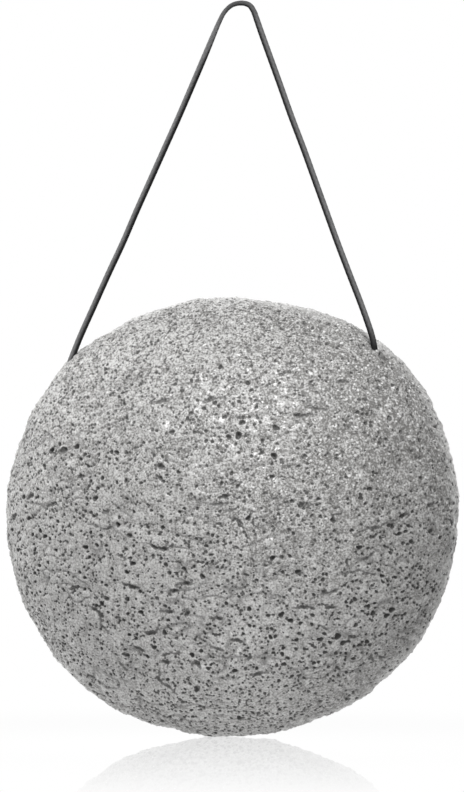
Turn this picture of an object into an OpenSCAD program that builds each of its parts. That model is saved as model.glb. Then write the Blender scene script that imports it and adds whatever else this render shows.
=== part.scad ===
// Konjac face sponge: a half ball of damp, charcoal-grey foam that hangs on a loop of waxed cord.
// Millimetres. The origin is the middle of the cord at the top of its loop, where a hook carries it.
// +X is to the right of someone who faces the dome, +Y points out of the flat back, and +Z is up.

/* [Sponge] */
// Width of the half ball, side to side
sponge_w = 80; // [72:0.5:92]
// Height of the half ball, top to bottom
sponge_h = 77.2; // [70:0.2:90]
// How far the dome stands out in front of the widest section
dome_depth = 30; // [24:0.5:40]
// How far the rounded edge reaches back from the widest section to the flat back
edge_depth = 9; // [6:0.5:14]
// How far the flat back's outline lies inside the outline of the widest section
edge_inset = 9; // [5:0.5:14]

/* [Hanging] */
// Height from the top of the loop down to the middle of the sponge
hang_drop = 90.4; // [84:0.2:110]
// How far the middle of the sponge lies to the left of the top of the loop
hang_offset = 2.55; // [0:0.05:6]
// Angle of the left mouth round the sponge, counted from the right-hand side
left_mouth_angle = 134.8; // [125:0.1:145]
// Angle of the right mouth round the sponge, counted from the right-hand side
right_mouth_angle = 48.9; // [40:0.1:60]
// How far the cord's flexing point stands off the foam at each mouth
mouth_standoff = 0.4; // [0.3:0.05:0.8]
// Radius of the pit that the cord has pressed into the foam at each mouth
mouth_pit_r = 1.2; // [1.1:0.05:2]

/* [Cord] */
// Diameter of the waxed cord
cord_d = 1.05; // [0.8:0.05:1.2]
// Clearance round the cord in its channel through the foam
channel_clearance = 0.05; // [0.03:0.01:0.1]
// Gap between the rounded end of the free cord and the end of the run inside the foam
flex_gap = 0.4; // [0.3:0.05:0.6]
// Turns of cord round the knot
knot_turns = 4; // [3:1:5]
// Length of each cut tail beyond the knot
tail_len = 2; // [1:0.1:4]
// Clearance between the knot's turns and the hollow that it has pressed in the foam
knot_clearance = 0.5; // [0.2:0.1:1]

/* [Hidden] */
$fn = 48;
foam_grey = [0.62, 0.61, 0.59];
cord_charcoal = [0.16, 0.16, 0.17];

// The outline is an ellipse that is a little fuller at its shoulders, above its middle and towards
// the upper right. Each share is the part of the local radius that is added.
shoulder_share = 0.016;
upper_share = 0.005;
lean_share = 0.007;
half_w = sponge_w / 2;
half_h = sponge_h / 2;

// Facets of the foam's shape: steps round the outline, and rings on the dome and on the rounded edge
outline_steps = 60;
dome_rings = 16;
edge_rings = 5;
// Overrun of the cut that makes the back flat
cut_over = 1;
// Where the last ring of the dome lies, as a share of one ring's step from the pole
pole_share = 0.25;

// A half ball hangs level when its widest section lies this far behind the cord. This is the depth of
// the foam's centre of mass in front of the widest section, from the volumes of the dome and the edge.
inner_w = half_w - edge_inset;
inner_h = half_h - edge_inset;
dome_volume = 2 / 3 * half_w * half_h * dome_depth;
dome_moment = half_w * half_h * pow(dome_depth, 2) / 4;
edge_volume = edge_depth * (inner_w * inner_h + (inner_w + inner_h) * edge_inset * PI / 4
    + pow(edge_inset, 2) * 2 / 3);
edge_moment = pow(edge_depth, 2) * (inner_w * inner_h / 2 + (inner_w + inner_h) * edge_inset / 3
    + pow(edge_inset, 2) / 4);
balance_depth = (dome_moment - edge_moment) / (dome_volume + edge_volume);
middle = [-hang_offset, balance_depth, -hang_drop];

function fullness(a) = 1 + shoulder_share * (1 - cos(4 * a)) / 2
    + upper_share * (sin(a) + sin(3 * a)) + lean_share * sin(2 * a);
function outline_r(a) = fullness(a) * half_w * half_h
    / norm([half_h * cos(a), half_w * sin(a)]);

// The mouths lie on the dome where the plane of the cord's loop cuts it
cord_plane_share = sqrt(1 - pow(balance_depth / dome_depth, 2));
function mouth_at(a) = let (r = outline_r(a) * cord_plane_share + mouth_standoff)
    [middle[0] + r * cos(a), 0, middle[2] + r * sin(a)];
left_mouth = mouth_at(left_mouth_angle);
right_mouth = mouth_at(right_mouth_angle);

// The channel runs straight through the foam from mouth to mouth, and the knot sits half way
cord_r = cord_d / 2;
channel = right_mouth - left_mouth;
channel_len = norm(channel);
channel_angle = atan2(channel[0], channel[2]);
run_start = cord_r + flex_gap;
// The knot's turns are pulled tight: they bed a little into each other and into the standing cord
turn_pitch_share = 0.9;
turn_r_share = 0.95;
turn_pitch = cord_d * turn_pitch_share;
turn_r = cord_d * turn_r_share;
knot_len = cord_d + (knot_turns - 1) * turn_pitch;
knot_mid = channel_len / 2;
knot_start = knot_mid - knot_len / 2;
knot_end = knot_mid + knot_len / 2;
hollow_r = turn_r + cord_r + knot_clearance;
// Each tail leaves the knot pulled a little thinner, and a little further out than the turns
tail_r_share = 0.9;
tail_out_share = 1.1;
hollow_half = knot_len / 2 + tail_len;

// Route of the free cord, as [x, z] pairs in the plane y = 0, from above the left mouth up to the top
// of the loop and down to above the right mouth. The feet are the places of the two mouths for which
// the route was chosen: each leg is stretched to meet its own mouth.
left_foot = [-30.23, -62.53];
right_foot = [23.54, -60.49];
left_leg_route = [
    [-28.6, -58.5], [-26.1, -53], [-23.6, -47.5], [-21, -42], [-18.6, -36.5], [-16.1, -31],
    [-13.6, -25.5], [-11.1, -20], [-8.7, -14.5], [-6.5, -9.4], [-4.9, -5.6], [-3.8, -3.1],
    [-2.9, -1.5], [-1.6, -0.35]
];
right_leg_route = [
    [1.4, -0.35], [2.2, -1.4], [2.8, -3], [3.6, -5.3], [4.9, -8.9], [6.9, -14.4], [8.9, -20],
    [11, -25.5], [13, -31], [15, -36.5], [17, -42], [19.1, -47.5], [21.2, -52.9], [22.7, -57.1],
    [23.3, -59.2]
];
function leg(points, foot, mouth) =
    [for (p = points) [p[0] * mouth[0] / foot[0], 0, p[1] * mouth[2] / foot[1]]];
cord_route = concat([left_mouth], leg(left_leg_route, left_foot, left_mouth), [[0, 0, 0]],
    leg(right_leg_route, right_foot, right_mouth), [right_mouth]);

// The cord is swept along a smooth curve through the route's points, with two rings to each span
cord_sides = 8;
span_rings = 2;
// The ends are domed: each cap ring lies at one of these angles towards its tip
cap_angles = [25, 50, 75];

function route_at(i) = cord_route[min(max(i, 0), len(cord_route) - 1)];
function smooth_at(i, t) = (2 * route_at(i) + (route_at(i + 1) - route_at(i - 1)) * t
    + (2 * route_at(i - 1) - 5 * route_at(i) + 4 * route_at(i + 1) - route_at(i + 2)) * pow(t, 2)
    + (3 * route_at(i) - route_at(i - 1) - 3 * route_at(i + 1) + route_at(i + 2)) * pow(t, 3)) / 2;
cord_line = concat(
    [for (i = [0:len(cord_route) - 2], k = [0:span_rings - 1]) smooth_at(i, k / span_rings)],
    [right_mouth]);
function unit(v) = v / norm(v);
function line_way(i) = unit(cord_line[min(i + 1, len(cord_line) - 1)] - cord_line[max(i - 1, 0)]);
function cord_ring(c, way, r) = [for (s = [0:cord_sides - 1]) let (a = 360 * s / cord_sides)
    c + r * (sin(a) * [0, 1, 0] + cos(a) * cross(way, [0, 1, 0]))];
start_way = line_way(0);
end_way = line_way(len(cord_line) - 1);
cord_rings = concat(
    [for (i = [len(cap_angles) - 1:-1:0])
        cord_ring(left_mouth - start_way * cord_r * sin(cap_angles[i]), start_way,
            cord_r * cos(cap_angles[i]))],
    [for (i = [0:len(cord_line) - 1]) cord_ring(cord_line[i], line_way(i), cord_r)],
    [for (a = cap_angles)
        cord_ring(right_mouth + end_way * cord_r * sin(a), end_way, cord_r * cos(a))]);

// Skin over rings of equal count: two triangles to each patch, and a closed cap on either end
module skin(rings) {
    sides = len(rings[0]);
    last = (len(rings) - 1) * sides;
    polyhedron(
        points = [for (ring = rings) each ring],
        faces = concat(
            [[for (s = [0:sides - 1]) s]],
            [for (i = [0:len(rings) - 2], s = [0:sides - 1]) let (n = (s + 1) % sides)
                each [[i * sides + s, (i + 1) * sides + s, i * sides + n],
                    [i * sides + n, (i + 1) * sides + s, (i + 1) * sides + n]]],
            [[for (s = [sides - 1:-1:0]) last + s]]));
}

// Places its children with their own Z along the channel, and zero at the left mouth
module along_channel() {
    translate(left_mouth) rotate([0, channel_angle, 0]) children();
}

function foam_ring(depth, inset, size_share) = [for (s = [0:outline_steps - 1])
    let (a = 360 * s / outline_steps, r = (outline_r(a) - inset) * size_share)
    middle + [r * cos(a), depth, r * sin(a)]];

// Half ball: the dome from near its pole to the widest section, then the rounded edge to the back
module half_ball() {
    dome_step = 90 / dome_rings;
    edge_step = 90 / edge_rings;
    skin(concat(
        [for (i = [dome_rings - pole_share, each [dome_rings - 1:-1:0]])
            foam_ring(-dome_depth * sin(i * dome_step), 0, cos(i * dome_step))],
        [for (i = [1:edge_rings])
            foam_ring(edge_depth * sin(i * edge_step), edge_inset * (1 - cos(i * edge_step)), 1)],
        [foam_ring(edge_depth + cut_over, edge_inset, 1)]));
}

// Sponge: one moulded piece of foam, pierced by the cord's channel, with a hollow for the knot
module sponge_body() {
    color(foam_grey)
    difference() {
        half_ball();
        translate(middle + [-sponge_w, edge_depth, -sponge_h])
            cube([2 * sponge_w, 2 * cut_over, 2 * sponge_h]);
        for (mouth = [left_mouth, right_mouth]) translate(mouth) sphere(r = mouth_pit_r);
        along_channel() {
            cylinder(h = channel_len, r = cord_r + channel_clearance);
            translate([0, 0, knot_mid - hollow_half]) cylinder(h = 2 * hollow_half, r = hollow_r);
        }
    }
}

// Free stretch of the cord: from the left mouth over the hook and back to the right mouth
module hanging_cord() {
    color(cord_charcoal) skin(cord_rings);
}

// Run of the cord inside the foam, from one place along the channel to another
module cord_run(from, to) {
    color(cord_charcoal) along_channel() translate([0, 0, from]) cylinder(h = to - from, r = cord_r);
}
module cord_run_left() cord_run(run_start, knot_start);
module cord_run_right() cord_run(knot_end, channel_len - run_start);

// Knot that joins the cord's two ends half way through the foam: turns laid side by side round the
// standing cord, with one cut tail leaving each end
module cord_knot() {
    color(cord_charcoal) along_channel() {
        translate([0, 0, knot_start]) rotate_extrude() union() {
            square([cord_r, knot_len]);
            for (i = [0:knot_turns - 1])
                translate([turn_r, cord_r + i * turn_pitch]) circle(r = cord_r);
        }
        for (side = [-1, 1])
            translate([side * turn_r * tail_out_share, 0, knot_mid + side * (knot_len / 2 - cord_r)])
                rotate([side < 0 ? 180 : 0, 0, 0]) cylinder(h = tail_len, r = cord_r * tail_r_share);
    }
}

sponge_body();
hanging_cord();
cord_run_left();
cord_run_right();
cord_knot();
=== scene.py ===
import math

import bpy
import numpy as np
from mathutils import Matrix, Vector, kdtree, noise


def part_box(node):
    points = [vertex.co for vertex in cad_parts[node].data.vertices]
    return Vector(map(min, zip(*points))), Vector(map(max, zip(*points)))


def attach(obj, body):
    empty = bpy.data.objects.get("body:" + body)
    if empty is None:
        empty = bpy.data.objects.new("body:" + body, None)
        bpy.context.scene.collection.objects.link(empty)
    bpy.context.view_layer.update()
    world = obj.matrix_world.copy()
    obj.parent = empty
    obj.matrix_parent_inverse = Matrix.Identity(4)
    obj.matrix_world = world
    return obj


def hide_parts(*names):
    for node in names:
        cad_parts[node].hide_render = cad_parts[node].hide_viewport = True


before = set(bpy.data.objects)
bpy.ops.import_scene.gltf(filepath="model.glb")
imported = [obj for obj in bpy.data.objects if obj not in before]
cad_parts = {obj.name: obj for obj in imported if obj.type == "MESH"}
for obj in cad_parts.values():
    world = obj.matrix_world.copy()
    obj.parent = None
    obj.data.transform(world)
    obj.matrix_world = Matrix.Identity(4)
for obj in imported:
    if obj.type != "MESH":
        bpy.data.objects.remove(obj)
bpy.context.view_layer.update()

# Camera. It stands level, a little over a metre away and eight degrees to the right of straight on,
# and looks at the upper part of the foam, so that loop and sponge fill the tall picture.
photo_width, photo_height = 464, 792
camera_turn = math.radians(8)
camera_distance = 1.1
camera_aside, camera_level = -0.0016, -0.069
pixel_size = 0.0001756
film_side = 36
ahead = Vector((-math.sin(camera_turn), math.cos(camera_turn), 0))
aside = Vector((math.cos(camera_turn), math.sin(camera_turn), 0))
upward = Vector((0, 0, 1))
camera_spot = aside * camera_aside + upward * camera_level - ahead * camera_distance

camera_data = bpy.data.cameras.new("photo_camera")
camera_data.sensor_width = film_side
camera_data.lens = film_side * camera_distance / (pixel_size * photo_height)
camera = bpy.data.objects.new("photo_camera", camera_data)
camera.location = camera_spot
camera.rotation_euler = (math.pi / 2, 0, camera_turn)
bpy.context.scene.collection.objects.link(camera)
bpy.context.scene.camera = camera
bpy.context.scene.view_settings.view_transform = "Standard"


# Hanging cord. One length of waxed cord, braided from eight strands round a core, runs up from the
# left mouth in the foam, over the hook and down to the right mouth. Both ends curl into the foam.
# The route is that of the part's own source, in metres, in the upright plane through the mouths.
cord_diameter = 0.00112
left_mouth = (-0.0302285, -0.0625276)
right_mouth = (0.0235427, -0.0604893)
left_leg_route = [
    (-0.0286, -0.0585), (-0.0261, -0.053), (-0.0236, -0.0475), (-0.021, -0.042), (-0.0186, -0.0365),
    (-0.0161, -0.031), (-0.0136, -0.0255), (-0.0111, -0.02), (-0.0087, -0.0145), (-0.0065, -0.0094),
    (-0.0049, -0.0056), (-0.0038, -0.0031), (-0.0029, -0.0015), (-0.0016, -0.00035)
]
right_leg_route = [
    (0.0014, -0.00035), (0.0022, -0.0014), (0.0028, -0.003), (0.0036, -0.0053), (0.0049, -0.0089),
    (0.0069, -0.0144), (0.0089, -0.02), (0.011, -0.0255), (0.013, -0.031), (0.015, -0.0365),
    (0.017, -0.042), (0.0191, -0.0475), (0.0212, -0.0529), (0.0227, -0.0571), (0.0233, -0.0592)
]
tuck_radius = 0.0022
tuck_length = 0.0023
ring_spacing = 0.00012
cord_sides = 24
strands_each_way = 4
braid_pitch = 0.0044
braid_relief = 0.03
crossing_lift = 0.5
end_dome = np.radians([30, 60])
# Lengths along the cord are taken from its left end. Just before the top it is pulled thinner.
thinnest_at, thin_run, thin_share = 0.0692, 0.0055, 0.27


def smooth_line(points, spacing):
    """Points about one spacing apart on the smooth curve through the given ones."""
    ends = np.vstack([points[:1], points, points[-1:]])
    line = []
    for before, start, end, after in zip(ends, ends[1:], ends[2:], ends[3:]):
        steps = max(1, round(float(np.linalg.norm(end - start)) / spacing))
        t = np.arange(steps)[:, None] / steps
        line.append((2 * start + (end - before) * t + (2 * before - 5 * start + 4 * end - after) * t ** 2
                     + (3 * start - before - 3 * end + after) * t ** 3) / 2)
    return np.vstack([*line, points[-1:]])


def tuck(mouth, heading, turn):
    """The arc in which an end of the cord curls from its mouth into the foam."""
    side = turn * np.array([-heading[2], 0, heading[0]])
    steps = round(tuck_length / ring_spacing)
    angles = np.linspace(0, tuck_length / tuck_radius, steps + 1)[1:, None]
    return mouth + tuck_radius * (side * (1 - np.cos(angles)) + heading * np.sin(angles))


def along(line):
    """Unit direction of travel at each point of a line."""
    way = np.gradient(line, axis=0)
    return way / np.linalg.norm(way, axis=1)[:, None]


def add_mesh(name, points, faces):
    """A new smooth object from its points and faces."""
    mesh = bpy.data.meshes.new(name)
    mesh.from_pydata(points, [], faces)
    mesh.shade_smooth()
    made = bpy.data.objects.new(name, mesh)
    bpy.context.scene.collection.objects.link(made)
    return made


def paint(piece, name, values):
    """Keeps one value for each point of a piece, for its material."""
    painted = piece.data.attributes.new(name, "FLOAT", "POINT")
    painted.data.foreach_set("value", values.astype(np.float32).ravel())


route = [left_mouth, *left_leg_route, (0, 0), *right_leg_route, right_mouth]
free_line = smooth_line(np.array([(x, 0, z) for x, z in route]), ring_spacing)
ways = along(free_line)
cord_line = np.vstack([
    tuck(free_line[0], -ways[0], 1)[::-1], free_line, tuck(free_line[-1], ways[-1], -1)])
cord_ways = along(cord_line)
travelled = np.concatenate([[0], np.cumsum(np.linalg.norm(np.diff(cord_line, axis=0), axis=1))])
cord_length = float(travelled[-1])

# Strands of one lay cross those of the other as in a plain weave, so each lies on top at every second
# crossing.
round_angle = np.arange(cord_sides) * 2 * np.pi / cord_sides
turns = travelled[:, None] / braid_pitch
lay_one = strands_each_way * (round_angle / (2 * np.pi) + turns)
lay_two = strands_each_way * (round_angle / (2 * np.pi) - turns)
height_one = (np.cos(np.pi * (lay_one - np.round(lay_one)))
              + crossing_lift * np.cos(np.pi * lay_two) * np.cos(np.pi * np.round(lay_one)))
height_two = (np.cos(np.pi * (lay_two - np.round(lay_two)))
              - crossing_lift * np.cos(np.pi * lay_one) * np.cos(np.pi * np.round(lay_two)))
strand_height = np.maximum(height_one, height_two)
thinning = thin_share * np.exp(-((travelled[:, None] - thinnest_at) / thin_run) ** 2)
cord_radius = cord_diameter / 2 * (1 + braid_relief * (strand_height - 1 - crossing_lift)) * (1 - thinning)

in_plane = np.stack([-cord_ways[:, 2], np.zeros(len(cord_line)), cord_ways[:, 0]], axis=1)
out_of_plane = np.array([0.0, 1.0, 0.0])
rings = (cord_line[:, None] + cord_radius[..., None] * (
    np.cos(round_angle)[None, :, None] * in_plane[:, None]
    + np.sin(round_angle)[None, :, None] * out_of_plane))
start_caps = [cord_line[0] + (rings[0] - cord_line[0]) * np.cos(a)
              - cord_ways[0] * cord_diameter / 2 * np.sin(a) for a in end_dome[::-1]]
end_caps = [cord_line[-1] + (rings[-1] - cord_line[-1]) * np.cos(a)
            + cord_ways[-1] * cord_diameter / 2 * np.sin(a) for a in end_dome]
rings = np.concatenate([start_caps, rings, end_caps])
cord_faces = [list(range(cord_sides))[::-1]]
for ring in range(len(rings) - 1):
    first, second = ring * cord_sides, (ring + 1) * cord_sides
    for side in range(cord_sides):
        after = (side + 1) % cord_sides
        cord_faces.append([first + side, first + after, second + after, second + side])
cord_faces.append(list(range((len(rings) - 1) * cord_sides, len(rings) * cord_sides)))
loop_cord = add_mesh("loop_cord", rings.reshape(-1, 3), cord_faces)


class Wire:
    """One output of a shader node. Arithmetic on it adds the Math nodes that work it out."""

    def __init__(self, tree, node=None, output=0):
        self.tree, self.node = tree, node
        self.socket = node.outputs[output] if node and node.outputs else None

    def __getitem__(self, output):
        return Wire(self.tree, self.node, output)

    def add(self, kind, settings=None, inputs=None):
        """Adds a node to the tree: its settings first, and then the values or links of its sockets."""
        node = self.tree.nodes.new("ShaderNode" + kind)
        for name, value in (settings or {}).items():
            setattr(node, name, value)
        for name, value in (inputs or {}).items():
            if isinstance(value, Wire):
                self.tree.links.new(value.socket, node.inputs[name])
            else:
                node.inputs[name].default_value = value
        return Wire(self.tree, node)

    def painted(self, name):
        """The value that was painted on the points of the mesh under this name."""
        return self.add("Attribute", {"attribute_name": name})["Fac"]

    def maths(self, operation, *values):
        return self.add("Math", {"operation": operation}, dict(enumerate(values)))

    def __add__(self, other):
        return self.maths("ADD", self, other)

    def __sub__(self, other):
        return self.maths("SUBTRACT", self, other)

    def __rsub__(self, other):
        return self.maths("SUBTRACT", other, self)

    def __mul__(self, other):
        return self.maths("MULTIPLY", self, other)

    def __truediv__(self, other):
        return self.maths("DIVIDE", self, other)

    def __rtruediv__(self, other):
        return self.maths("DIVIDE", other, self)

    __radd__ = __add__
    __rmul__ = __mul__

    def most(self, other):
        return self.maths("MAXIMUM", self, other)

    def rise(self, low, high):
        """Smooth step: 0 up to low, 1 from high."""
        return self.add("MapRange", {"interpolation_type": "SMOOTHSTEP"},
                        {"Value": self, "From Min": low, "From Max": high})

    def tint(self, colour, other):
        """Colour where this is 0, and the other colour where it is 1."""
        mix = {"Factor": self}
        for place, value in ((6, colour), (7, other)):
            mix[place] = value if isinstance(value, Wire) else (*value, 1)
        return self.add("Mix", {"data_type": "RGBA"}, mix)[2]


def new_material(name):
    """An empty procedural material, and the wire from which its nodes are added."""
    material = bpy.data.materials.new(name)
    material.use_nodes = True
    material.node_tree.nodes.clear()
    return material, Wire(material.node_tree)


def cover(wires, finish):
    """Makes a shader the surface of its material."""
    wires.add("OutputMaterial", None, {"Surface": finish})


# The cord is black, and is tinted grey where its outer side is painted as lit, which is partly wear too.
cord_black = (0.02, 0.02, 0.0205)
cord_lit_and_worn = (0.19, 0.19, 0.192)
fibre_tone, patch_tone, least_tone = 0.5, 0.7, 0.35
wax_edge = (0.35, 0.65)
wax_roughness = (0.5, 0.7)
fibre_grain = 9000
wax_patches = 700
fibre_lift = 0.00002

waxed_cord, wires = new_material("waxed_cord")
place = wires.add("TexCoord")["Object"]
fibres = wires.add("TexNoise", None, {"Vector": place, "Scale": fibre_grain, "Detail": 2})["Fac"]
patches = wires.add("TexNoise", None, {"Vector": place, "Scale": wax_patches, "Detail": 3})["Fac"]
lit_side_and_wear = wires.painted("lit_side_and_wear")
lit_and_worn_mix = lit_side_and_wear * (fibres * fibre_tone + patches * patch_tone + least_tone)
wax = patches.rise(*wax_edge)
cover(wires, wires.add("BsdfPrincipled", None, {
    "Base Color": lit_and_worn_mix.tint(cord_black, cord_lit_and_worn),
    "Roughness": wax * (wax_roughness[1] - wax_roughness[0]) + wax_roughness[0],
    "Specular IOR Level": 0.05,
    "Normal": wires.add("Bump", None, {"Height": fibres, "Strength": 0.6, "Distance": fibre_lift}),
}))

# The outer side of the loop is painted grey: painted light where light from above falls on it, and partly
# wear, the crowns of its strands most. Near the top the cord has turned, so that this side faces forward.
# The top itself is darker, and the end at the right mouth black, as painted shade where it dives into the
# foam.
black_end = 0.005
turned_at, turned_run, turned_by = 0.0675, 0.006, math.radians(75)
dark_top_at, dark_top_run, dark_top_share = 0.0722, 0.0038, 0.6
crown_from, crown_share = 0.4, 0.3
outer_from, outer_run = -0.45, 0.7
crown = np.clip((strand_height - crown_from) / (1 - crown_from + crossing_lift), 0, 1)
turned = turned_by * np.exp(-((travelled[:, None] - turned_at) / turned_run) ** 2)
outer_side = np.clip((np.cos(round_angle + turned) - outer_from) / outer_run, 0, 1)
from_right_end = cord_length - tuck_length - travelled[:, None]
painted_light_and_wear = outer_side * (1 - crown_share + crown_share * crown) * np.clip(from_right_end / black_end, 0, 1)
painted_light_and_wear *= 1 - dark_top_share * np.exp(-((travelled[:, None] - dark_top_at) / dark_top_run) ** 2)
painted_light_and_wear = np.vstack([painted_light_and_wear[:1]] * len(end_dome) + [painted_light_and_wear] + [painted_light_and_wear[-1:]] * len(end_dome))
paint(loop_cord, "lit_side_and_wear", painted_light_and_wear)
loop_cord.data.materials.append(waxed_cord)
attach(loop_cord, "cord")
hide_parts("hanging_cord")


# Cord inside the foam. The same cord runs on from either mouth through the middle of the sponge to
# an overhand knot that can't slip back through the channel. These solids of the part stay as they are.
for name in ("cord_run_left", "cord_run_right", "cord_knot"):
    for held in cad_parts[name].material_slots:
        held.material = waxed_cord


# Foam half ball. Konjac gel, whipped full of bubbles, is frozen and thawed in a mould, and is left as
# a springy, damp foam under a thin skin: domed in front, softly rounded at the edge, and flat behind.
# Pores of every size break through the skin, and the gel puckers into short creases as it shrinks.
low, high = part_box("sponge_body")
half_width = (high.x - low.x) / 2
half_height = 0.0386
dome_depth = 0.03
edge_depth = 0.009
edge_inset = 0.009
shoulder_share, upper_share, lean_share = 0.016, 0.005, 0.007
middle = np.array([(low.x + high.x) / 2, high.y - edge_depth, low.z + half_height])
skin_step = 0.0002
back_coarser = 2


def outline_radius(angle):
    """Radius of the widest section, as in the part's own source."""
    fullness = (1 + shoulder_share * (1 - np.cos(4 * angle)) / 2
                + upper_share * (np.sin(angle) + np.sin(3 * angle)) + lean_share * np.sin(2 * angle))
    return fullness * half_width * half_height / np.hypot(
        half_height * np.cos(angle), half_width * np.sin(angle))


def even_shares(x, y, count):
    """Shares of a profile's own variable that cut its length into equal steps, and that length."""
    run = np.concatenate([[0], np.cumsum(np.hypot(np.diff(x), np.diff(y)))])
    return np.interp(np.linspace(0, run[-1], count + 1), run, np.linspace(0, 1, len(x))), run[-1]


# Rings of the skin, from the middle of the dome to the widest section and on to the middle of the back.
profile_steps = 4000
fine = np.linspace(0, 1, profile_steps + 1)
dome_profile = (half_width * np.sin(fine * np.pi / 2), dome_depth * np.cos(fine * np.pi / 2))
dome_length = even_shares(*dome_profile, 1)[1]
dome_rings = 2 * round(dome_length / skin_step / 2)
dome_shares, dome_length = even_shares(*dome_profile, dome_rings)
flat_radius = half_width - edge_inset
back_rings = dome_rings // back_coarser
seam_coarser = 1.5
seam_step = seam_coarser * skin_step
back_length = flat_radius + np.pi / 2 * edge_inset
back_runs = np.linspace(0, back_length - seam_step, back_rings + 1)


def ring_points(count, radius_share, depth, inset):
    """One ring of the skin: six points a step, at a share of the outline and a depth behind the middle."""
    angle = np.arange(max(6 * count, 1)) * 2 * np.pi / max(6 * count, 1)
    radius = (outline_radius(angle) - inset) * radius_share
    spots = [middle[0] + radius * np.cos(angle), np.full(len(angle), middle[1] + depth),
             middle[2] + radius * np.sin(angle)]
    return np.stack(spots, axis=1), angle


def hexagon_faces(count, first):
    """Triangles of about one size between rings of 1, 6, 12 and so on points, counter-clockwise."""
    faces, starts = [], [first] + [first + 1 + 3 * ring * (ring + 1) for ring in range(count)]
    for ring, (inner, outer) in enumerate(zip(starts, starts[1:])):
        sector, step = np.divmod(np.arange(6 * (ring + 1)), ring + 1)
        inside = inner + (sector * ring + step) % max(6 * ring, 1)
        inside_next = inner + (sector * ring + step + 1) % max(6 * ring, 1)
        outside = outer + sector * (ring + 1) + step
        outside_next = outer + (sector * (ring + 1) + step + 1) % (6 * (ring + 1))
        faces.append(np.stack([inside, outside, outside_next], axis=1))
        faces.append(np.stack([inside, outside_next, inside_next], axis=1)[step < ring])
    return np.vstack(faces)


skin_rings, skin_runs, skin_angles = [], [], []
for ring, share in enumerate(dome_shares):
    slope = share * np.pi / 2
    points, angles = ring_points(ring, np.sin(slope), -dome_depth * np.cos(slope), 0)
    skin_rings.append(points)
    skin_angles.append(angles)
    skin_runs.append(np.full(len(angles), ring / dome_rings * dome_length))
front_count = sum(len(points) for points in skin_rings)
for ring, run in enumerate(back_runs):
    bend = max(run - flat_radius, 0) / edge_inset
    points, angles = ring_points(ring, min(run / flat_radius, 1), edge_depth * np.cos(bend),
                                 edge_inset * (1 - np.sin(bend)))
    skin_rings.append(points)
    skin_angles.append(angles)
    skin_runs.append(np.full(len(angles), run))
skin = np.vstack(skin_rings)
skin_run, skin_angle = np.concatenate(skin_runs), np.concatenate(skin_angles)

# The outermost ring of the back has half as many points as the rim of the dome that it joins.
rim = front_count - 6 * dome_rings + np.arange(6 * dome_rings)
back_rim = len(skin) - 6 * back_rings + np.arange(6 * back_rings)
back_next, between, rim_next = np.roll(back_rim, -1), rim[1::2], np.roll(rim, -2)[::2]
seam_faces = np.vstack([np.stack(corners, axis=1) for corners in (
    (back_rim, between, rim[::2]), (back_rim, back_next, between), (back_next, rim_next, between))])
front_faces = hexagon_faces(dome_rings, 0)
back_faces = np.vstack([hexagon_faces(back_rings, front_count)[:, ::-1], seam_faces])
skin_faces = np.vstack([front_faces, back_faces])
foam = add_mesh("foam_half_ball", skin, skin_faces.tolist())

outward = np.zeros(len(skin) * 3, np.float32)
foam.data.vertex_normals.foreach_get("vector", outward)
outward = outward.reshape(-1, 3).astype(float)

# The moulding isn't true: the outline swells and dips a little, as (degrees, spread, rise in metres).
rim_swells = [
    (20, 7, -0.0002), (42, 4, 0.0003), (50, 8, 0.0003), (75, 9, -0.0002), (95, 5, 0.0001),
    (100, 8, 0.0002), (135, 4.5, 0.0004), (150, 8, -0.0002),
    (210, 7, -0.0002), (240, 6, 0.0003), (254, 3, -0.0002), (262, 4, 0.0001), (281, 3.5, 0.0003),
    (297, 4, -0.0002), (305, 4, 0.0002), (330, 10, 0.0003)
]
rim_zone = 0.35
rise = np.zeros(len(skin))
to_rim = np.hypot((skin[:, 0] - middle[0]) / half_width, (skin[:, 2] - middle[2]) / half_height)
near_rim = np.clip((to_rim - 1 + rim_zone) / rim_zone, 0, 1) ** 2
outline_share = outline_radius(skin_angle) / (half_width * half_height / np.hypot(
    half_height * np.cos(skin_angle), half_width * np.sin(skin_angle)))
skin_degrees = np.degrees(skin_angle)
for degrees, spread, height in rim_swells:
    off = (skin_degrees - degrees + 180) % 360 - 180
    rise += near_rim * height * np.exp(-(off / spread) ** 2)

# Round either mouth the pull of the cord has raised a lip, to the right of the cord.
lip_size = 0.0013
lips = [(left_mouth, 0.0007, 0.0004, 0.0004), (right_mouth, 0.0006, -0.0006, 0.0003)]
for mouth, lip_right, lip_up, lip_height in lips:
    lip = np.array([mouth[0] + lip_right, 0.0, mouth[1] + lip_up])
    rise += lip_height * np.exp(-((skin - lip) ** 2).sum(axis=1) / lip_size ** 2)

# Broad lumps, small lumps and grain, as (size, height) in metres. Like the pores and the grain of the
# colours they are drawn out a little from front to back.
drawn_out = (1, 0.6, 1)
lumps = [(0.009, 0.00025), (0.0035, 0.0003), (0.0016, 0.00015), (0.0006, 0.00005)]
for size, height in lumps:
    rise += height * np.array([noise.noise(Vector(spot) * Vector(drawn_out) / size) for spot in skin])
rim_grain_from, rim_grain_size, rim_grain_height = 0.2, 0.0007, 0.00024
near_edge = np.flatnonzero(near_rim > rim_grain_from)
rim_grain = [noise.noise(Vector(skin[number]) / rim_grain_size) for number in near_edge]
rise[near_edge] += near_rim[near_edge] * rim_grain_height * np.array(rim_grain)

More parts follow.
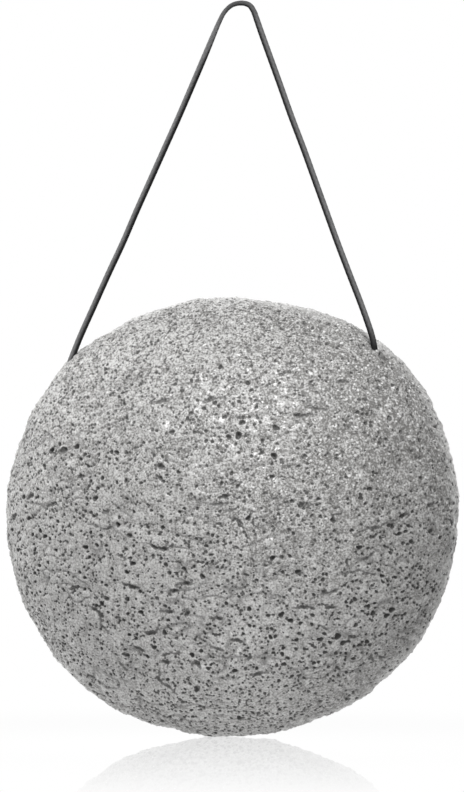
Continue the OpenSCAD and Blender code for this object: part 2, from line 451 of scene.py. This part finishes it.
# Puckers: fine branching furrows, mostly level, that come and go in patches, at the places where a
# stretched noise passes through zero. The material paints them dark, as painted shade in the furrows.
pucker_size, pucker_width, pucker_depth = 0.0036, 0.1, 0.0002
pucker_patch, patch_bias, patch_gain = 0.008, 0.15, 2.5
widths_each_side = 2
pucker_squash = Vector((1, 1, 1.7))
pucker = np.zeros(len(skin))
for number, spot in enumerate(skin):
    across = noise.noise(Vector(spot) * pucker_squash / pucker_size) / pucker_width
    patch = noise.noise(Vector(spot) / pucker_patch) + patch_bias
    if abs(across) < widths_each_side and patch > 0:
        pucker[number] = min(patch * patch_gain, 1) * math.exp(-across * across)
rise -= pucker_depth * pucker

# Round the edge of the mould the skin is painted paler, as painted rim light where light grazes the thin
# skin and shines through it.
rim_light_from, rim_light_to = 0.97, 1.0
painted_rim_light = np.clip((to_rim / outline_share - rim_light_from) / (rim_light_to - rim_light_from), 0, 1) ** 2

# The upper part is the grainier one. It reaches furthest down a little right of the middle, and is
# smoother on the left. Towards the right edge the skin is flecked with white, partly pale gel and partly
# painted glints, and has fewer pores.
grainy_from, grainy_slant, grainy_middle = (-0.109, -0.084), 0.4, 0.012
stray_size, stray_reach = 0.012, 0.006
stray = stray_reach * np.array([noise.noise(Vector(spot) / stray_size) for spot in skin])
grainy = np.clip((skin[:, 2] - grainy_slant * np.abs(skin[:, 0] - grainy_middle) + stray - grainy_from[0])
                 / (grainy_from[1] - grainy_from[0]), 0, 1)
smooth_left, smooth_run, smooth_share = 0.0, 0.02, 0.35
grainy *= 1 - smooth_share * np.clip((smooth_left - skin[:, 0]) / smooth_run, 0, 1)
flecky_from = (-0.001, 0.021)
flecks_and_glints = np.clip((skin[:, 0] + stray - flecky_from[0]) / (flecky_from[1] - flecky_from[0]), 0, 1)
flecks_and_glints *= np.maximum(grainy, near_rim)

# Chance is seeded, so that every run gives the same skin.
skin_seed = 14
chance = np.random.default_rng(skin_seed)
noise.seed_set(skin_seed)
tree = kdtree.KDTree(len(skin))
for number, spot in enumerate(skin):
    tree.insert(spot, number)
tree.balance()
pore_reach = np.full(len(skin), -1.0)
pore_shade = np.zeros(len(skin))
pore_depth = np.zeros(len(skin))
reach_beyond = 0.00035
pore_lip, pore_wall_share = 0.00006, 0.7
third_lobe_share = 0.7
pore_margin = 1.3
nearly_upright = 0.98
millimetre = 0.001


def press_pore(number, radius, depth, stretch=1.0, lean=0.0, lobes=0.16, shade=1.0):
    """Sinks one pore round a point of the skin. Its rim is an ellipse with two and three lobes, and
    its painted shade is 1 where it opens into the dark inside of the foam and 0 where it is closed."""
    spot, normal = skin[number], outward[number]
    level = np.array([normal[1], -normal[0], 0.0] if abs(normal[2]) < nearly_upright else [1.0, 0.0, 0.0])
    level /= np.linalg.norm(level)
    rising = np.cross(normal, level)
    around = (radius * stretch * pore_margin + reach_beyond) / drawn_out[1]
    near = np.array([found for _, found, _ in tree.find_range(spot, around)])
    offset = (skin[near] - spot) * drawn_out
    x, y = offset @ level, offset @ rising
    x, y = (x * math.cos(lean) + y * math.sin(lean)) / stretch, y * math.cos(lean) - x * math.sin(lean)
    angle = np.arctan2(y, x)
    phases = chance.uniform(0, 2 * np.pi, 2)
    edge = radius * (1 + lobes * np.cos(2 * angle + phases[0])
                     + lobes * third_lobe_share * np.cos(3 * angle + phases[1]))
    reach = edge - np.hypot(x, y)
    sunk = np.clip((reach + pore_lip) / (radius * pore_wall_share + pore_lip), 0, 1)
    nearer = reach / millimetre > pore_reach[near]
    pore_shade[near] = np.where(nearer, shade, pore_shade[near])
    pore_reach[near] = np.maximum(pore_reach[near], reach / millimetre)
    pore_depth[near] = np.maximum(pore_depth[near], depth * sunk * sunk * (3 - 2 * sunk))


def skin_at(u, v):
    """The point of the skin that a pixel of the photograph shows."""
    sight = (ahead * camera_distance + aside * (u - photo_width / 2) * pixel_size
             + upward * (photo_height / 2 - v) * pixel_size)
    hit, spot, _, _ = foam.ray_cast(camera_spot, sight.normalized())
    return tree.find(spot)[1] if hit else None


# The mouths. The cord leaves the foam at the bottom of a small pit, on either shoulder. Both pits are
# painted dark inside as shade, and the right one shows more of it, as (mouth, radius of the pit, painted
# shade).
mouth_pits = [(left_mouth, 0.00078, 0.3), (right_mouth, 0.0007, 0.9)]
pit_forward, pit_down = 0.00035, 0.0001
for mouth, pit_radius, pit_shade in mouth_pits:
    pit_centre = np.array([mouth[0], -pit_forward, mouth[1] - pit_down])
    off = skin - pit_centre
    near = np.flatnonzero((off ** 2).sum(axis=1) < pit_radius ** 2 * pore_margin)
    along_normal = (off[near] * outward[near]).sum(axis=1)
    across = (off[near] ** 2).sum(axis=1) - along_normal ** 2
    inside = across < pit_radius ** 2
    drop = along_normal + np.sqrt(np.maximum(pit_radius ** 2 - across, 0))
    pore_depth[near] = np.maximum(pore_depth[near], np.where(inside, drop, 0))
    pore_reach[near] = (pit_radius - np.sqrt(np.maximum(across, 0))) / millimetre
    pore_shade[near] = pit_shade

# Pores and creases that the photograph shows, at their pixels there. The pores come in four sizes.
great_pores_px = [(338, 636), (51.5, 451), (276, 428), (239, 435), (274, 455.5)]
large_pores_px = [
    (281, 615), (291, 621), (355, 625), (321, 640), (299, 676), (234.5, 671), (284, 664), (282, 655),
    (164, 633), (192, 655), (184, 569), (202, 576.5), (154, 647), (141, 612), (133, 564), (196, 689),
    (229, 437), (272.5, 477), (172, 432), (220, 367), (248, 382), (215, 402.5), (242, 423),
    (80, 476), (28, 518), (85.5, 547), (96, 545), (64, 449), (76, 446), (43, 536), (95, 498.5),
    (370, 489), (393, 526.5), (412, 542), (359, 547), (360, 498), (390, 418), (343, 642), (348, 641),
    (373, 613), (386, 615.5), (391.5, 609), (359, 645), (248, 518), (272, 557.5), (333.5, 520.5)
]
pores_px = [
    (268, 616), (249, 626), (275, 636), (296.5, 640), (362, 611), (312, 625), (320, 626), (346, 653),
    (345, 660), (337, 654), (330, 643), (305, 650), (284, 649), (288, 658), (277, 665), (292, 677),
    (305, 679), (307, 668), (314, 664), (279, 682), (265, 693), (328, 675), (291, 714), (302, 716),
    (314, 595), (324, 592), (290, 590), (215, 626), (167.5, 621), (137, 635), (194, 373), (197.5, 381),
    (251, 389), (219, 406), (204, 408), (239, 402), (256, 400), (256, 407), (225, 416.5), (239, 418),
    (243, 418), (182, 423), (188, 418), (260.5, 422), (255, 424.5), (232, 430), (226, 432), (220, 440),
    (252, 456), (277, 444), (162, 457), (198, 431), (206, 431), (219, 428), (212, 442), (206, 441),
    (263, 440), (263, 452), (178, 472.5), (231, 473), (247, 470), (166, 475), (71, 455), (85, 455),
    (89, 456), (80, 459), (90.5, 481), (89, 486), (87, 504), (90.5, 513), (96, 515), (58, 521),
    (55, 550), (90, 533), (13, 535), (365, 504), (394, 498), (384, 508), (352, 530), (386, 547),
    (404, 543), (408, 544), (441, 537), (420, 440), (409.5, 525.5), (390.5, 553), (380, 570.5),
    (383, 576.5), (395.5, 577), (357, 581), (361.5, 582), (373, 586), (355, 599), (394.5, 615),
    (421.5, 569), (426.5, 582), (412.5, 586), (417.5, 587.5), (426.5, 593), (266, 654), (279, 710),
    (285, 708), (84, 577.5), (99.5, 560.5), (161.5, 558.5), (145, 560.5), (128, 613.5), (129.5, 635),
    (125, 649.5), (164.5, 606), (148, 656), (176, 638.5), (274.5, 573.5), (257, 580), (306, 591.5),
    (327, 574), (323, 580), (355, 599.5), (339, 612.5), (301, 624), (273, 653), (325, 653),
    (329, 667), (257, 669.5), (221, 483), (231, 480.5), (237.5, 486), (249, 496), (240, 525),
    (264, 520.5), (278.5, 515), (298, 516), (289, 530.5), (231, 543), (240, 555.5), (290, 556),
    (206, 546.5), (342.5, 452), (308.5, 473), (300.5, 506), (318.5, 499.5), (334.5, 531),
    (347.5, 498.5), (326.5, 540), (338.5, 547.5), (98.5, 455), (112, 451.5), (116, 451.5),
    (116, 459.5), (117, 483), (66, 487.5), (126, 480), (163, 481.5), (126, 498.5), (118, 517.5),
    (150.5, 511), (161, 517), (162, 528), (149, 533.5), (176.5, 535.5)
]
small_pores_px = [
    (371.5, 536.5), (383.5, 582), (387.5, 581), (348, 587), (367, 592), (351.5, 602), (345.5, 602),
    (355, 616), (402.5, 600), (397, 598), (405.5, 578), (401.5, 592), (241, 689), (217, 689),
    (185, 689), (197, 701), (203, 708), (209, 708), (232, 703), (259, 712), (291, 719), (134.5, 620.5),
    (106.5, 622), (123.5, 620.5), (108, 613), (106.5, 546), (112.5, 569.5), (282.5, 572.5),
    (323, 574.5), (315, 569), (341, 593), (345, 585), (351, 602), (348, 606), (338, 619), (332, 615.5),
    (265, 659), (315, 648), (319, 662.5), (336.5, 668), (354, 646), (260, 454), (225.5, 489),
    (197, 508.5), (184, 508), (220, 511), (298, 466), (293, 533), (244, 532.5), (285, 552),
    (184, 521), (189, 536), (196, 538), (201, 540), (208, 534), (212, 536), (218, 537), (217, 542),
    (224, 541), (236, 536), (246, 536), (255, 535), (186, 543), (189, 547), (193, 555.5),
    (211, 554.5), (225, 561), (202, 563), (206, 564), (212, 562), (194, 566), (217, 568), (222, 568),
    (266, 566), (289.5, 466.5), (302, 498.5), (307.5, 492.5), (316.5, 505), (372.5, 506),
    (397.5, 534.5), (312.5, 516), (320.5, 517), (313.5, 527.5), (315.5, 540), (346, 541), (371, 537.5),
    (374.5, 537), (297.5, 448), (308.5, 445), (305.5, 456), (315.5, 451), (326.5, 455), (336.5, 458),
    (327.5, 487), (338.5, 485), (379.5, 443), (126, 452), (129, 459.5), (134.5, 460), (141, 446),
    (153, 454.5), (160, 448), (88, 466), (71, 504), (76, 504), (141, 483), (117, 508), (83, 516),
    (64, 515), (133, 512), (141, 526.5), (147, 527), (159, 534), (170, 522), (110, 538), (125, 549.5),
    (133, 546), (142.5, 548), (153, 556), (130.5, 558)
]
seen_pores = [
    (great_pores_px, 0.00054), (large_pores_px, 0.00043), (pores_px, 0.00031), (small_pores_px, 0.00028)
]
seen_spread, seen_stretch, seen_lean, seen_shade = (0.88, 1.14), (1, 1.15), (-0.6, 0.6), (0.85, 1)
seen_depth_share = 1.3
for places, pore_radius in seen_pores:
    for u, v in places:
        radius = pore_radius * chance.uniform(*seen_spread)
        press_pore(skin_at(u, v), radius, radius * seen_depth_share, chance.uniform(*seen_stretch),
                   chance.uniform(*seen_lean), shade=chance.uniform(*seen_shade))

creases_px = [
    [(123, 582), (126, 585), (139, 588)], [(102, 594), (106, 597), (110, 598)],
    [(176, 588), (180, 584), (195, 584)], [(168, 593), (179, 591)], [(161, 612), (175, 612)],
    [(143, 633), (154, 633), (160, 627)], [(133, 646), (144, 651)], [(161, 656), (177, 652)],
    [(160, 661), (170, 662)], [(191, 665), (196, 662), (202, 668)],
    [(160.5, 667), (160.5, 675), (159, 680), (168, 687), (179, 694)], [(210, 618.5), (223, 619)],
    [(210, 649), (225, 649)], [(90, 606), (99, 614), (101, 624), (108, 630)], [(119.5, 662), (128, 671)],
    [(186, 618), (189, 610)], [(295, 609.5), (304, 607), (317, 609)], [(327, 608), (338, 608)],
    [(230, 639), (243, 642.5)], [(247, 660), (253, 658)], [(324, 592), (337, 588)],
    [(147, 544), (155, 547.5), (166, 549), (174.5, 544)], [(218, 496.5), (230, 495.5)],
    [(210, 503.5), (226, 502.5)], [(270, 522.5), (281, 522)], [(126, 471.5), (130, 471)]
]
bold_creases_px = [[(376.5, 354.5), (379.5, 357), (384, 359.5)]]
faint_creases_px = [
    [(335, 576.5), (346, 575), (361, 569.5)], [(354, 536), (365, 528), (384, 523.5), (398, 518)],
    [(360, 562), (372, 555), (380, 549)], [(362, 571), (378, 575)], [(242, 547), (255, 545)],
    [(319, 626), (329, 630)], [(234, 510), (224, 513.5)], [(244, 510), (254, 513)],
    [(270, 498), (282, 499)], [(216, 525), (222, 524.5)], [(331.5, 515), (343.5, 514)],
    [(155, 465), (162, 465.5)], [(100, 487.5), (105, 486.5)], [(110, 510), (103, 514)],
    [(87, 522.5), (95, 525), (104, 529), (112, 527), (115.5, 533)]
]
bold_share, faint_share = 1.5, 0.6
crease_step = 0.00012
crease_radius = (0.00008, 0.00033)
crease_depth = 0.0005
crease_lobes = 0.3
crease_run_out = 0.7
even_share, uneven_share, uneven_size = 0.75, 0.9, 0.0007
crease_stray, crease_stray_size = 0.00026, 0.0009
crease_sway, crease_sway_size = 0.0006, 0.003
shade_start, shade_gain, least_shade, most_shade = 0.28, 0.45, 0.1, 0.75
ridge_above, ridge_size, ridge_height, ridge_reach = 0.0005, 0.00045, 0.00014, 1.6
ridge = np.zeros(len(skin))


def press_crease(corners, strength=1.0):
    """Sinks a crease: a close chain of small pits along a line on the skin, which strays, comes and
    goes in depth, width and painted shade, and runs out at both ends, with a low ridge above it."""
    line = smooth_line(corners, crease_step)
    for step, spot in enumerate(line):
        share = strength * math.sin(math.pi * (step + 1) / (len(line) + 1)) ** crease_run_out
        share *= even_share + uneven_share * noise.noise(Vector(spot) / uneven_size)
        radius = crease_radius[0] + (crease_radius[1] - crease_radius[0]) * max(share, 0)
        strayed = (Vector(spot) + noise.noise_vector(Vector(spot) / crease_stray_size) * crease_stray
                   + noise.noise_vector(Vector(spot) / crease_sway_size) * crease_sway)
        number = tree.find(strayed)[1]
        shade = min(max(shade_start + shade_gain * share, least_shade), most_shade)
        press_pore(number, radius, crease_depth * share, lobes=crease_lobes, shade=shade)
        above = skin[number] + np.array([0, 0, ridge_above])
        for _, found, distance in tree.find_range(above, ridge_size * ridge_reach):
            height = ridge_height * max(share, 0) * math.exp(-(distance / ridge_size) ** 2)
            ridge[found] = max(ridge[found], height)


for creases, strength in (
        (creases_px, 1.0), (bold_creases_px, bold_share), (faint_creases_px, faint_share)):
    for places in creases:
        press_crease(np.array([skin[skin_at(u, v)] for u, v in places]), strength)

# Chance pores elsewhere, as (least radius, greatest radius, how many to a square centimetre), in metres.
# In the grainy part fewer of them are large, and in the flecked part there are fewer of all. One that
# would run into a pore or crease already there is left out.
pore_sizes = [
    (0.00036, 0.00046, 1), (0.00027, 0.00036, 6), (0.0002, 0.00027, 46), (0.00013, 0.0002, 78)
]
few_above, few_share, flecky_few = 0.00027, 0.6, 0.6
clear_share = 0.6
chance_stretch, chance_lean, chance_lobes = (1, 1.2), (-0.9, 0.9), 0.11
chance_depth_share, closed_share = 1.25, 0.35
skin_area = sum(face.area for face in foam.data.polygons)
square_centimetre = 0.0001
point_share = np.where(np.arange(len(skin)) < front_count, 1.0, back_coarser ** 2)
point_share /= point_share.sum()
for least, most, density in pore_sizes:
    tries = int(density * skin_area / square_centimetre)
    for number in chance.choice(len(skin), tries, p=point_share):
        radius = chance.uniform(least, most)
        missing = max(grainy[number] * few_share * (radius > few_above), flecks_and_glints[number] * flecky_few)
        if missing > chance.uniform():
            continue
        if pore_reach[number] * millimetre < -clear_share * radius:
            press_pore(number, radius, radius * chance_depth_share, chance.uniform(*chance_stretch),
                       chance.uniform(*chance_lean), chance_lobes,
                       shade=1 - closed_share * chance.uniform(0, 1) ** 2)

# Chance creases, mostly level, shorter than those above and rarer than the pores.
creases_in_all = 70
crease_tilt, crease_bow = 0.35, 0.35
shortest_half, longest_half = 0.0005, 0.0018
for number in chance.choice(len(skin), creases_in_all, p=point_share):
    normal = outward[number]
    level = np.array([normal[1], -normal[0], 0.0]) + chance.normal(0, crease_tilt, 3)
    level -= normal * (level @ normal)
    level /= np.linalg.norm(level)
    rising = np.cross(normal, level)
    half_run = chance.uniform(shortest_half, longest_half)
    bow = chance.normal(0, crease_bow) * half_run
    press_crease(np.array([skin[number] - level * half_run, skin[number] + rising * bow,
                           skin[number] + level * half_run]))

skin = skin + outward * (rise + ridge - pore_depth)[:, None]
foam.data.vertices.foreach_set("co", skin.astype(np.float32).ravel())
for name, values in (("pore_reach", pore_reach), ("pore_shade", pore_shade), ("pucker", pucker),
                     ("grainy", grainy), ("flecks_and_glints", flecks_and_glints), ("painted_rim_light", painted_rim_light)):
    paint(foam, name, values)
foam.data.update()

# One flat map for dome and back, side by side, for the colours of the finished model.
map_fill, edge_room = 0.985, 0.005
dome_share = dome_length / (dome_length + back_length)
map_room = 1 / (1 + math.sqrt(0.5)) * map_fill
dome_map, back_map = dome_share * map_room, (1 - dome_share) * map_room
corners = skin_faces.ravel()
on_front = np.repeat(np.arange(len(skin_faces)) < len(front_faces), 3)
run = np.where((corners < front_count) & ~on_front, back_length, skin_run[corners])
run = run * np.where(on_front, dome_map / dome_length, back_map / back_length)
map_centre = np.where(on_front, dome_map + edge_room, 1 - back_map - edge_room)
flat_map = np.stack([map_centre + run * np.cos(skin_angle[corners]),
                     map_centre + run * np.sin(skin_angle[corners])], axis=1)
foam.data.uv_layers.new(name="OFBake").data.foreach_set("uv", flat_map.astype(np.float32).ravel())

skin_pale = (0.55, 0.547, 0.54)
skin_dull = (0.18, 0.177, 0.171)
# The white of the flecks is partly pale gel and partly painted glints.
glint_fleck_white = (0.8, 0.8, 0.795)
# The white of the edge is painted rim light.
rim_light_white = (0.75, 0.745, 0.735)
# Inside the pores the skin is painted this dark grey, as painted shade.
pore_shade_grey = (0.06, 0.0595, 0.058)
pore_blur = (-0.07, 0.07)
grain_scale, mottle_scale, film_scale, sparkle_scale = 2900, 800, 190, 4600
pinhole_cells, pinhole_spread, pinhole_least, pinhole_edge = 1700, 0.4, 0.1, 0.12
fleck_cells, fleck_spread, fleck_edge = 1500, 0.48, (-0.02, 0.24)
ragged = 0.00035
closed_pore = 0.25
grain_share, speckle_edge = 0.7, (0.38, 0.62)
edge_mottle, edge_least, edge_strength = 0.8, 0.3, 0.75
film_edge, film_patchiness = (0.4, 0.6), 0.3
sparkle_share, glaze_edge = 0.7, (0.45, 0.56)
dry_roughness, wet_smoothing = 0.7, 0.25
mottle_lift, pinhole_sink, grain_lift = 1.5, 0.8, 0.00007
# What changes over the skin, each as (elsewhere, added in the grainy part, added in the flecked part).
pore_dark = (1, -0.15, 0)
pinhole_dark = (0.22, 0.2, -0.15)
furrow_dark = (0.52, -0.35, 0)
fleck_room = (-0.2, 0.14, 0.09)
glint_fleck_bright = (0.3, 0.5, 0.1)
speckle_contrast = (0.52, 0.5, 0)
# In the flecked part the skin is painted darker, partly to set off the white flecks and partly as painted
# shade towards the right edge.
speckle_level = (0.5, 0, -0.045)
film_amount = (1, 0, -0.3)

damp_foam, wires = new_material("damp_foam")
spot_on_skin = wires.add("TexCoord")["Object"]
place = wires.add("VectorMath", {"operation": "MULTIPLY"}, {0: spot_on_skin, 1: drawn_out})[0]
reach = wires.painted("pore_reach")
shade = wires.painted("pore_shade")
furrow = wires.painted("pucker")
upper_grain = wires.painted("grainy")
right_flecks_and_glints = wires.painted("flecks_and_glints")
rim_light_mask = wires.painted("painted_rim_light")
grain = wires.add("TexNoise", None, {"Vector": place, "Scale": grain_scale, "Detail": 2})
mottle = wires.add("TexNoise", None, {"Vector": place, "Scale": mottle_scale, "Detail": 3})["Fac"]
film = wires.add("TexNoise", None, {"Vector": place, "Scale": film_scale, "Detail": 2})["Fac"]
sparkle = wires.add("TexNoise", None, {"Vector": place, "Scale": sparkle_scale, "Detail": 1})["Fac"]
ragged_place = wires.add("VectorMath", {"operation": "MULTIPLY_ADD"}, {
    0: grain["Color"],
    1: (ragged, ragged, ragged),
    2: place,
})[0]
grain = grain["Fac"]


def by_place(elsewhere, added_grainy, added_flecked):
    """A number that changes towards the grainy upper part and the flecked right part."""
    return upper_grain * added_grainy + right_flecks_and_glints * added_flecked + elsewhere


# Pinholes, and white flecks, sit in the middle of chance cells, where the cell's own chance is high. The
# pinholes are painted dark as shade, and the flecks are partly painted glints.
cells = wires.add("TexVoronoi", None, {"Vector": ragged_place, "Scale": pinhole_cells})
cell_chance = wires.add("SeparateColor", None, {"Color": cells["Color"]})["Red"]
pinhole = (cell_chance * pinhole_spread - pinhole_least - cells["Distance"]).rise(0, pinhole_edge)
spots = wires.add("TexVoronoi", None, {"Vector": ragged_place, "Scale": fleck_cells})
spot_chance = wires.add("SeparateColor", None, {"Color": spots["Color"]})["Green"]
glint_fleck = (spot_chance * fleck_spread + by_place(*fleck_room) - spots["Distance"]).rise(*fleck_edge)

# Pores, pinholes and furrows are painted dark inside, as painted shade in the hollows. The skin between
# them is speckled, and painted pale along the edge, as painted rim light.
hole = reach.rise(*pore_blur) * (closed_pore + shade * (1 - closed_pore)) * by_place(*pore_dark)
dark = hole.most(pinhole * by_place(*pinhole_dark)).most(furrow * by_place(*furrow_dark))
uneven = grain * grain_share + mottle * (1 - grain_share) - 0.5
speckle = (uneven * by_place(*speckle_contrast) + by_place(*speckle_level)).rise(*speckle_edge)
rim_light_share = rim_light_mask * (mottle * edge_mottle + edge_least) * edge_strength
bare = rim_light_share.tint(speckle.tint(skin_dull, skin_pale), rim_light_white)
# White flecks over the skin, partly pale gel and partly painted glints.
glint_flecked = (glint_fleck * by_place(*glint_fleck_bright)).tint(bare, glint_fleck_white)

# A film of water lies on the skin in patches, and glints in fine specks between the pores.
wet = film.rise(*film_edge)
glaze = (sparkle * sparkle_share + mottle * (1 - sparkle_share)).rise(*glaze_edge)
patchy_film = wet * film_patchiness + (1 - film_patchiness)
film_cover = (1 - hole) * patchy_film * glaze * by_place(*film_amount)
cover(wires, wires.add("BsdfPrincipled", None, {
    "Base Color": dark.tint(glint_flecked, pore_shade_grey),
    "Roughness": dry_roughness - wet * wet_smoothing,
    "Specular IOR Level": 0.15,
    "Sheen Weight": 0.55,
    "Sheen Roughness": 0.22,
    "Coat Weight": film_cover,
    "Coat Roughness": 0.27,
    "Coat IOR": 1.6,
    "Normal": wires.add("Bump", None, {
        "Height": grain + mottle * mottle_lift - pinhole * pinhole_sink,
        "Strength": 0.9,
        "Distance": grain_lift,
    }),
}))
foam.data.materials.append(damp_foam)
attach(foam, "sponge")
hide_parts("sponge_body")


# Floor. A white glossy table top, which mirrors the foot of the sponge faintly, and less and less
# away from it. The foam presses down on it a little, and its soft shadow stays near the foam.
# A bright patch of the table just in front lights the underside, as the white table in the studio did.
floor_press = 0.0002
floor_reach = 6
floor_white = (0.12, 0.12, 0.12)
floor_glow = 1.15
glow_centre, glow_half_width, glow_half_length = -0.03, 0.12, 0.1
mirror_share = 0.385
mirror_reach = 0.18
mirror_roughness = 0.012
shadow_share = 0.06
shadow_reach = 0.12

floor_mesh = bpy.data.meshes.new("table_top")
floor_mesh.from_pydata([(-floor_reach, -floor_reach, 0), (floor_reach, -floor_reach, 0),
                        (floor_reach, floor_reach, 0), (-floor_reach, floor_reach, 0)], [], [(0, 1, 2, 3)])
table_top = bpy.data.objects.new("table_top", floor_mesh)
foot = skin[skin[:, 2].argmin()]
table_top.location = (foot[0], foot[1], foot[2] + floor_press)
bpy.context.scene.collection.objects.link(table_top)


def seen_directly(wires):
    """1 for what the camera sees, also by way of a mirror or glass, and 0 for light."""
    path = wires.add("LightPath")
    return path["Is Camera Ray"].most(path["Is Glossy Ray"]).most(path["Is Transmission Ray"])


white_lacquer, wires = new_material("white_lacquer")
spot_on_table = wires.add("TexCoord")["Object"]
away = wires.add("VectorMath", {"operation": "LENGTH"}, {0: spot_on_table})["Value"]
card = wires.add("VectorMath", {"operation": "MULTIPLY_ADD"}, {
    0: spot_on_table,
    1: (1 / glow_half_width, 1 / glow_half_length, 0),
    2: (0, -glow_centre / glow_half_length, 0),
})[0]
off_card = wires.add("VectorMath", {"operation": "LENGTH"}, {0: card})["Value"]
lit = wires.add("MixShader", None, {
    0: (1 - off_card).rise(0, 1),
    1: wires.add("BsdfDiffuse", None, {"Color": (*floor_white, 1)}),
    2: wires.add("Emission", None, {"Color": (1, 1, 1, 1), "Strength": floor_glow}),
})
plain = wires.add("Emission", None, {"Color": (1, 1, 1, 1), "Strength": 1.0})
mirror = wires.add("BsdfGlossy", None, {"Color": (1, 1, 1, 1), "Roughness": mirror_roughness})
shadow = (1 - away / shadow_reach).rise(0, 1) * shadow_share
veil = wires.add("MixShader", None, {0: seen_directly(wires) * (1 - shadow), 1: lit, 2: plain})
gloss = (1 - away / mirror_reach).most(0) * mirror_share
cover(wires, wires.add("MixShader", None, {0: gloss, 1: veil, 2: mirror}))
floor_mesh.materials.append(white_lacquer)


# Light. Five square soft lamps: the key lamp high in front gives the foam its glints, two fill in from
# the right and the left of it, one low on the left lights that side of foam and cord, and one behind
# on the right lights the right edge. The surroundings are nearly dark, and the backdrop is seen as white.
surround_level = 0.01
lamp_distance = 1.3
lamp_size = 0.35
lamps = [
    ("key_lamp", 10, 50, 13.2, True), ("front_lamp", 32, 30, 4.3, False),
    ("fill_lamp", -45, 45, 5.3, False), ("side_lamp", -110, 20, 15.5, False),
    ("rim_lamp", 165, 5, 9, False)
]

world = bpy.data.worlds.new("studio")
bpy.context.scene.world = world
world.use_nodes = True
world.node_tree.nodes.clear()
wires = Wire(world.node_tree)
fill = wires.add("Background", None, {"Color": (1, 1, 1, 1), "Strength": surround_level})
backdrop = wires.add("Background", None, {"Color": (1, 1, 1, 1), "Strength": 1.0})
wires.add("OutputWorld", None, {
    "Surface": wires.add("MixShader", None, {0: seen_directly(wires), 1: fill, 2: backdrop})})


def add_lamp(name, turn, height, watts, glints):
    """A lamp that faces the sponge, from a turn to the right of the front and a height above level, in
    degrees. Without glints it gives light to the foam but isn't mirrored in the water on it."""
    turn, height = math.radians(turn), math.radians(height)
    way = Vector((math.sin(turn) * math.cos(height), -math.cos(turn) * math.cos(height), math.sin(height)))
    lamp_data = bpy.data.lights.new(name, "AREA")
    lamp_data.energy = watts
    lamp_data.size = lamp_size
    lamp = bpy.data.objects.new(name, lamp_data)
    lamp.location = Vector(middle) + way * lamp_distance
    lamp.rotation_euler = way.to_track_quat("Z", "Y").to_euler()
    lamp.visible_camera = False
    lamp.visible_glossy = glints
    bpy.context.scene.collection.objects.link(lamp)


for name, turn, height, watts, glints in lamps:
    add_lamp(name, turn, height, watts, glints)
